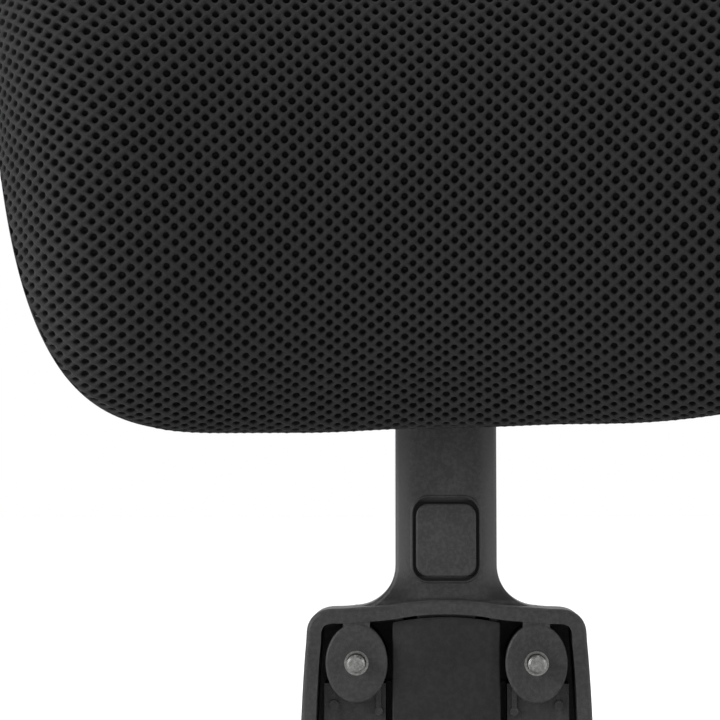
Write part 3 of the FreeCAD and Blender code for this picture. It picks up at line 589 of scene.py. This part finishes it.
class HEADREST_OT_mesh_cover(bpy.types.Operator):
    """Knit the mesh cover over the pad's form, one cell round each hole"""

    bl_idname = "headrest.mesh_cover"
    bl_label = "Mesh cover"

    CUT_HALF_HEIGHT = 0.19
    RINGS = ((1.16, -0.03, 0.0), (1.0, -0.2, 0.5), (0.9, -1.0, 1.0))  # radius, depth, darkness as painted shade, as shares

    def execute(self, context):
        pad, knit = context.scene.headrest_pad, context.scene.headrest_mesh
        form = PadShape(pad)
        p, q = knit.across, knit.upward
        edge = [(3, 0), (2, 1), (1, 2), (0, 3), (-1, 2), (-2, 1)]
        edge += [(-a, -b) for a, b in edge]
        spokes = [math.atan2(b, a) for a, b in edge]
        columns, rows = int(form.reach / p) + 1, int(self.CUT_HALF_HEIGHT / q) + 1
        cells = []
        for i in range(-columns, columns + 1):
            for j in range(-rows, rows + 1):
                u, v = self.laid(i * p, j * q, pad, knit)
                inside = abs(v) < form.half_length(u, v) + 0.3 * q
                if (i + j) % 2 == 0 and abs(u) < form.reach + 0.3 * p and inside:
                    cells.append((i, j))
        keys, plan, depth, lift, faces, shadowed = {}, [], [], [], [], []

        def shared(a, b):
            if (a, b) not in keys:
                keys[a, b] = len(plan)
                plan.append((a * p / 3, b * q / 3))
                crossing = a % 3 == 0 and b % 3 == 0
                lift.append(knit.ridge * (1.25 if crossing else 0.9))
                depth.append(0.0)
            return keys[a, b]

        for i, j in cells:
            outer = [shared(3 * i + a, 3 * j + b) for a, b in edge]
            x = i * p + knit.uneven * scatter(i, j)
            y = j * q + knit.uneven * scatter(j, i + 7)
            size = 1 + 0.10 * scatter(i + 3, j - 5)
            for radius, fall, dark in self.RINGS:
                start = len(plan)
                for angle in spokes:
                    reach = radius * knit.hole * size
                    plan.append((x + reach * math.cos(angle), y + reach * math.sin(angle)))
                    lift.append(fall * knit.depth)
                    depth.append(dark)
                inner = list(range(start, start + 12))
                for k in range(12):
                    faces.append((outer[k], outer[(k + 1) % 12], inner[(k + 1) % 12], inner[k]))
                shadowed += [dark == 1.0] * 12
                outer = inner
            faces.append(tuple(outer))
            shadowed.append(True)
        plan = np.array(plan)
        u, v = self.laid(plan[:, 0], plan[:, 1], pad, knit)
        s, t = form.on_form(u, v)
        ripple = 0.00022 * np.sin(u * 61 + 1.3) * np.sin(v * 83 + 0.4)
        ripple += 0.00016 * np.sin(u * 133 - v * 97 + 2.1)
        points = form.point(s, t) + form.normal(s, t) * (np.array(lift) + ripple)[:, None]
        obj = mesh_piece("mesh_cover_knit", points, faces)
        mesh = obj.data
        layer = mesh.uv_layers.new(name="knit")
        corners = np.zeros(len(mesh.loops), dtype=np.int32)
        mesh.loops.foreach_get("vertex_index", corners)
        layer.data.foreach_set("uv", (plan[corners] / np.array([p, q])).ravel())
        # the depth attribute carries each ring's darkness, painted shade down the hole walls
        dark = mesh.attributes.new("depth", "FLOAT", "POINT")
        dark.data.foreach_set("value", depth)
        # the deepest ring and the hole bottoms take the second material: near-black pile as painted shade
        mesh.polygons.foreach_set("material_index", np.array(shadowed, dtype=np.int32))
        shape = bmesh.new()
        shape.from_mesh(mesh)
        bmesh.ops.remove_doubles(shape, verts=shape.verts, dist=1e-6)
        bmesh.ops.dissolve_degenerate(shape, edges=shape.edges, dist=1e-6)
        shape.to_mesh(mesh)
        shape.free()
        finishes = context.scene.headrest_finish
        # the third colour, a darker copy of the yarn, is painted shade for the hole walls
        material = knitted_mesh("knitted mesh", finishes.yarn, scaled(finishes.yarn, 0.35))
        finish_piece(obj, "headrest", material, ["mesh_cover"])
        mesh.materials.append(pile_and_hole_shade("pile and hole shade", finishes.shade))
        return {"FINISHED"}

    def laid(self, x, y, pad, knit):
        """Where a point of the even, cut cloth lies on the stretched cover."""
        u = x * (1 + knit.stretch * x**4)
        v = y + pad.skew * u
        droop = knit.droop * v * abs(v) * u * u / (1 + (u / knit.droop_reach) ** 2)
        droop = droop / (1 + (v / knit.droop_hem) ** 10)
        return u, v * (1 - knit.crowding * v * v + knit.lean * u) + droop


class HEADREST_OT_release_button(bpy.types.Operator):
    """Model the thumb button with rounded corners and a soft front edge"""

    bl_idname = "headrest.release_button"
    bl_label = "Release button"

    THICKNESS = 0.0038
    EASE_X = 0.0001
    EASE_FOOT = 0.0006
    EASE_HEAD = 0.0012
    CORNER = 0.0040
    SOFT_EDGE = 0.0007

    def execute(self, context):
        low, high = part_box("release_button")
        front, rear = low[1], low[1] + self.THICKNESS
        foot, head = low[2] + self.EASE_FOOT, high[2] - self.EASE_HEAD
        middle = ((low[0] + high[0]) / 2, (front + rear) / 2, (foot + head) / 2)
        size = (high[0] - low[0] - 2 * self.EASE_X, rear - front, head - foot)
        deselect()
        bpy.ops.mesh.primitive_cube_add(size=1, location=middle, scale=size)
        bpy.ops.object.transform_apply(location=True, scale=True)
        obj = bpy.context.object
        obj.name = "release_button_cap"
        select_edges(obj, lambda a, b: abs(a.y - b.y) > MM)
        bpy.ops.mesh.bevel(offset=self.CORNER, segments=8, affect="EDGES")
        select_edges(obj, lambda a, b: max(a.y, b.y) < front + 0.01 * MM)
        bpy.ops.mesh.bevel(offset=self.SOFT_EDGE, segments=5, affect="EDGES")
        bpy.ops.object.mode_set(mode="OBJECT")
        bpy.ops.object.shade_smooth_by_angle(angle=math.radians(50))
        plastic = context.scene.headrest_finish.plastic
        material = moulded_plastic("button face", plastic, 0.00035, 0.00004, 0.40)
        finish_piece(obj, "latch", material, ["release_button"])
        return {"FINISHED"}


class HEADREST_OT_latch_spring(bpy.types.Operator):
    """Copy the latch spring and give it its finish"""

    bl_idname = "headrest.latch_spring"
    bl_label = "Latch spring"

    TRAVEL = 0.0018
    CLEARANCE = 0.00005

    def execute(self, context):
        mesh = frame["nodes"]["latch_spring"].data.copy()
        obj = bpy.data.objects.new("latch_spring_coil", mesh)
        context.scene.collection.objects.link(obj)
        shape = bmesh.new()
        shape.from_mesh(mesh)
        bmesh.ops.remove_doubles(shape, verts=shape.verts, dist=0.001 * MM)
        shape.to_mesh(mesh)
        shape.free()
        material = plated_steel("coiled spring wire", scaled(context.scene.headrest_finish.zinc, 0.8), 0.25)
        finish_piece(obj, "mount", material, ["latch_spring"])
        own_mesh(obj)
        return {"FINISHED"}


class HEADREST_OT_foam(bpy.types.Operator):
    """Shape the foam cushion under the cover"""

    bl_idname = "headrest.foam"
    bl_label = "Foam cushion"

    SHARE_ACROSS = 0.88
    SHARE_UPWARD = 0.93
    UNDER_COVER = 0.0036
    REAR_SHARE = 0.99
    BEFORE_LIP = 0.0008

    def execute(self, context):
        form = PadShape(context.scene.headrest_pad)
        across = np.concatenate([-form.s_steps[:0:-8], form.s_steps[::8]]) * self.SHARE_ACROSS
        upward = np.linspace(-1, 1, 61) * self.SHARE_UPWARD
        s, t = (g.ravel() for g in np.meshgrid(across, upward, indexing="ij"))
        front = form.point(s, t) - form.normal(s, t) * self.UNDER_COVER
        rear = front.copy()
        flat = form.bent(*self.flattened(form, s, t))
        rear[:, 1] = flat[:, 1]
        n, m = len(across), len(upward)
        points = np.concatenate([front, rear])
        faces = []
        for i in range(n - 1):
            for j in range(m - 1):
                a, b, c, d = i * m + j, (i + 1) * m + j, (i + 1) * m + j + 1, i * m + j + 1
                faces.append((a, b, c, d))
                faces.append((a + n * m, d + n * m, c + n * m, b + n * m))
        border = [i * m for i in range(n)] + [(n - 1) * m + j for j in range(1, m)]
        border += [i * m + m - 1 for i in range(n - 2, -1, -1)] + [j for j in range(m - 2, 0, -1)]
        for a, b in zip(border, border[1:] + border[:1]):
            faces.append((b, a, a + n * m, b + n * m))
        obj = mesh_piece("foam_cushion_core", points, faces)
        shape = bmesh.new()
        shape.from_mesh(obj.data)
        bmesh.ops.remove_doubles(shape, verts=shape.verts, dist=1e-5)
        bmesh.ops.recalc_face_normals(shape, faces=shape.faces)
        shape.to_mesh(obj.data)
        shape.free()
        material = cut_foam("cut foam", context.scene.headrest_finish.foam)
        finish_piece(obj, "headrest", material, ["foam_cushion"])
        return {"FINISHED"}

    def flattened(self, form, s, t):
        """Where the foam's rear face lies, as arguments for the form's bend."""
        front = form.point(s, t)
        return front[:, 0] * self.REAR_SHARE, np.zeros(len(front)), np.full(len(front), self.BEFORE_LIP)


class HEADREST_OT_hem(bpy.types.Operator):
    """Sweep the knitted edge tape round the pad's hem"""

    bl_idname = "headrest.hem"
    bl_label = "Hem tape"

    SECTION = (
        (-1.3, 0.5), (-0.7, 0.3), (-0.25, 0.6), (0.0, 1.2), (0.1, 2.2), (0.0, 3.5), (-0.6, 4.6),
        (-2.0, 4.92), (-6.0, 4.95), (-12.0, 4.95), (-12.0, 4.1), (-2.0, 3.9), (-1.4, 2.2), (-1.7, 1.0),
    )  # outwards and backwards from the lip's corner, in mm

    def execute(self, context):
        pad = context.scene.headrest_pad
        form = PadShape(pad)
        steps = 420
        angle = (np.arange(steps) + 0.5) / steps * 2 * math.pi
        c, s = np.cos(angle), np.sin(angle)
        x = pad.half_width * np.sign(c) * np.abs(c) ** (2 / ACROSS_POWER)
        z = pad.half_height * np.sign(s) * np.abs(s) ** (2 / UPWARD_POWER)
        x *= 1 + pad.taper * z / pad.half_height
        path = form.bent(x, z, np.zeros(steps))
        run = form.running_length(np.concatenate([path, path[:1]]))
        even = np.linspace(0, run[-1], steps + 1)[:-1]
        path = np.stack([np.interp(even, run, np.append(path[:, k], path[0, k])) for k in range(3)], axis=1)
        along = np.roll(path, -2, axis=0) - np.roll(path, 2, axis=0)
        along /= np.linalg.norm(along, axis=1, keepdims=True)
        turn = np.arcsin(path[:, 0] / form.radius)
        rearward = np.stack([np.sin(turn), np.cos(turn), np.zeros(steps)], axis=1)
        outward = np.cross(along, rearward)
        outward *= np.sign((outward * (path - path.mean(axis=0))).sum(axis=1))[:, None]
        points = []
        for k in range(steps):
            for out, rear in self.SECTION:
                points.append(path[k] + (outward[k] * out + rearward[k] * rear) * MM)
        ring = len(self.SECTION)
        faces = []
        for k in range(steps):
            for m in range(ring):
                a, b = k * ring + m, k * ring + (m + 1) % ring
                c, d = (k + 1) % steps * ring + (m + 1) % ring, (k + 1) % steps * ring + m
                faces.append((a, b, c, d))
        obj = mesh_piece("hem_tape", points, faces)
        layer = obj.data.uv_layers.new(name="tape")
        for face in obj.data.polygons:
            k, m = divmod(face.index, ring)
            spots = ((k, m), (k, m + 1), (k + 1, m + 1), (k + 1, m))
            for loop, (a, b) in zip(face.loop_indices, spots):
                layer.data[loop].uv = (a / steps, b / ring)
        shape = bmesh.new()
        shape.from_mesh(obj.data)
        bmesh.ops.recalc_face_normals(shape, faces=shape.faces)
        shape.to_mesh(obj.data)
        shape.free()
        material = ribbed_tape("edge tape", scaled(context.scene.headrest_finish.yarn, 0.6))
        finish_piece(obj, "headrest", material)
        return {"FINISHED"}


class HEADREST_OT_frame_finishes(bpy.types.Operator):
    """Give the mechanical parts their finishes"""

    bl_idname = "headrest.frame_finishes"
    bl_label = "Frame finishes"

    def execute(self, context):
        tones = context.scene.headrest_finish
        plastic = tones.plastic
        made = {
            "frame_plastic": moulded_plastic("bracket plastic", plastic, patches=bracket_patches),
            "button_plastic": moulded_plastic("button plastic", scaled(plastic, 1.2), 0.00035, 0.00005, 0.40),
            "bush_plastic": moulded_plastic("bush plastic", scaled(plastic, 0.12), 0.0005, 0.00003, 0.5),
            "hinge_plastic": moulded_plastic("hinge plastic", plastic, 0.0005, 0.00006, 0.45),
            "carrier_plastic": moulded_plastic("carrier plastic", scaled(plastic, 1.2), 0.0008, 0.00005, 0.6),
            "shell_plastic": moulded_plastic("shell plastic", plastic, 0.0006, 0.00008, 0.46),
            "strip_plastic": moulded_plastic("strip plastic", plastic, 0.0006, 0.00003, 0.5),
            "nylon": moulded_plastic("natural nylon", tones.nylon, 0.0008, 0.00002, 0.4),
            "painted_steel": powder_coat("powder coat", tones.paint),
            "zinc_steel": plated_steel("zinc plate", tones.zinc),
            "dark_steel": plated_steel("black oxide", scaled(tones.zinc, 0.12), 0.4),
            "spring_steel": plated_steel("spring steel", scaled(tones.zinc, 0.8), 0.25),
            "foam": cut_foam("hidden foam", tones.foam),
            "mesh_fabric": cut_foam("hidden fabric", tones.yarn),
        }
        slots = {row["node"]: row["material_slot"] for row in frame["record"]["subparts"]}
        # painted shade: the channel cover gets a copy of the bracket plastic darkened to 0.45
        shaded = moulded_plastic("channel painted shade", scaled(plastic, 0.45), 0.0005, 0.00005, 0.48)
        for name, obj in frame["nodes"].items():
            obj.data.materials.clear()
            obj.data.materials.append(shaded if name == "channel_cover" else made[slots[name]])
        return {"FINISHED"}


class HEADREST_OT_stage(bpy.types.Operator):
    """Set up the floor, the lights and the camera"""

    bl_idname = "headrest.stage"
    bl_label = "Stage"

    def execute(self, context):
        stage = context.scene.headrest_stage
        deselect()
        bpy.ops.mesh.primitive_plane_add(size=40.0, location=(0, 0, stage.floor))
        floor = bpy.context.object
        floor.name = "studio_floor"
        bpy.ops.object.transform_apply(location=True)
        glow = {"Emission Color": (1, 1, 1, 1), "Emission Strength": PAPER_GLOW}
        paper = Finish("studio paper", {"Roughness": 0.9} | glow)
        grain = paper.noise(0.05, 2) * 0.1
        paper.feed("Base Color", paper.mix(grain, (0.93, 0.93, 0.93), (0.97, 0.97, 0.97)))
        floor.data.materials.append(paper.material)
        context.scene.world = self.room()
        for name, place, size, energy in (
            ("key", (-1.05, -0.55, 0.45), 0.5, 20.0),
            ("fill", (1.1, -0.45, 0.35), 0.8, 7.0),
            ("top", (0.0, -0.1, 1.3), 0.9, 8.0),
        ):
            lamp = bpy.data.lights.new(name, "AREA")
            lamp.size, lamp.energy = size, energy
            obj = bpy.data.objects.new(name, lamp)
            obj.location = place
            aim = Vector((0, 0, 0.13)) - Vector(place)
            obj.rotation_euler = aim.to_track_quat("-Z", "Y").to_euler()
            context.scene.collection.objects.link(obj)
        view = bpy.data.cameras.new("camera")
        view.lens, view.sensor_width, view.clip_start = stage.lens, LENS_SENSOR, 0.01
        camera = bpy.data.objects.new("camera", view)
        aim = Vector(stage.aim)
        turn = Vector((math.sin(stage.azimuth), -math.cos(stage.azimuth), 0))
        camera.location = aim + turn * stage.distance
        camera.location.z = stage.height
        camera.rotation_euler = (aim - camera.location).to_track_quat("-Z", "Y").to_euler()
        context.scene.collection.objects.link(camera)
        context.scene.camera = camera
        context.scene.view_settings.view_transform = "Standard"
        return {"FINISHED"}

    def room(self):
        """A white studio that lights the side towards the sitter less."""
        world = bpy.data.worlds.new("studio")
        world.use_nodes = True
        nodes, links = world.node_tree.nodes, world.node_tree.links
        place = nodes.new("ShaderNodeTexCoord")
        parts = nodes.new("ShaderNodeSeparateXYZ")
        ramp = nodes.new("ShaderNodeMapRange")
        ramp.interpolation_type = "SMOOTHSTEP"
        limits = {"From Min": -0.97, "From Max": -0.35, "To Min": 0.55, "To Max": 1.0}
        for socket, value in limits.items():
            ramp.inputs[socket].default_value = value
        links.new(place.outputs["Generated"], parts.inputs[0])
        links.new(parts.outputs["Y"], ramp.inputs["Value"])
        seen = nodes.new("ShaderNodeLightPath")
        brighter = nodes.new("ShaderNodeMath")
        brighter.operation = "MAXIMUM"
        links.new(ramp.outputs[0], brighter.inputs[0])
        links.new(seen.outputs["Is Camera Ray"], brighter.inputs[1])
        links.new(brighter.outputs[0], nodes["Background"].inputs["Strength"])
        nodes["Background"].inputs["Color"].default_value = (1, 1, 1, 1)
        return world


class HEADREST_PT_panel(bpy.types.Panel):
    """Lists the headrest's pieces"""

    bl_idname = "HEADREST_PT_panel"
    bl_label = "Headrest"
    bl_space_type = "VIEW_3D"
    bl_region_type = "UI"
    bl_category = "Headrest"

    def draw(self, context):
        for group in (context.scene.headrest_pad, context.scene.headrest_mesh, context.scene.headrest_finish):
            for name in group.__annotations__:
                self.layout.prop(group, name)
        for operator in OPERATORS:
            self.layout.operator(operator.bl_idname)


SETTINGS = {
    "headrest_pad": PadSettings,
    "headrest_mesh": MeshSettings,
    "headrest_finish": FinishSettings,
    "headrest_stage": StageSettings,
}
OPERATORS = (
    HEADREST_OT_frame_finishes,
    HEADREST_OT_release_button,
    HEADREST_OT_latch_spring,
    HEADREST_OT_foam,
    HEADREST_OT_mesh_cover,
    HEADREST_OT_hem,
    HEADREST_OT_stage,
)


def register():
    """Adds the settings, operators and panel."""
    for name, group in SETTINGS.items():
        bpy.utils.register_class(group)
        setattr(bpy.types.Scene, name, PointerProperty(type=group))
    for operator in OPERATORS:
        bpy.utils.register_class(operator)
    bpy.utils.register_class(HEADREST_PT_panel)


def unregister():
    """Takes them away again."""
    bpy.utils.unregister_class(HEADREST_PT_panel)
    for operator in reversed(OPERATORS):
        bpy.utils.unregister_class(operator)
    for name, group in reversed(SETTINGS.items()):
        delattr(bpy.types.Scene, name)
        bpy.utils.unregister_class(group)


def main():
    """Builds everything in order."""
    register()
    bpy.ops.headrest.frame_finishes()
    bpy.ops.headrest.release_button()
    bpy.ops.headrest.latch_spring()
    bpy.ops.headrest.foam()
    bpy.ops.headrest.mesh_cover()
    bpy.ops.headrest.hem()
    bpy.ops.headrest.stage()


if __name__ == "__main__":
    main()
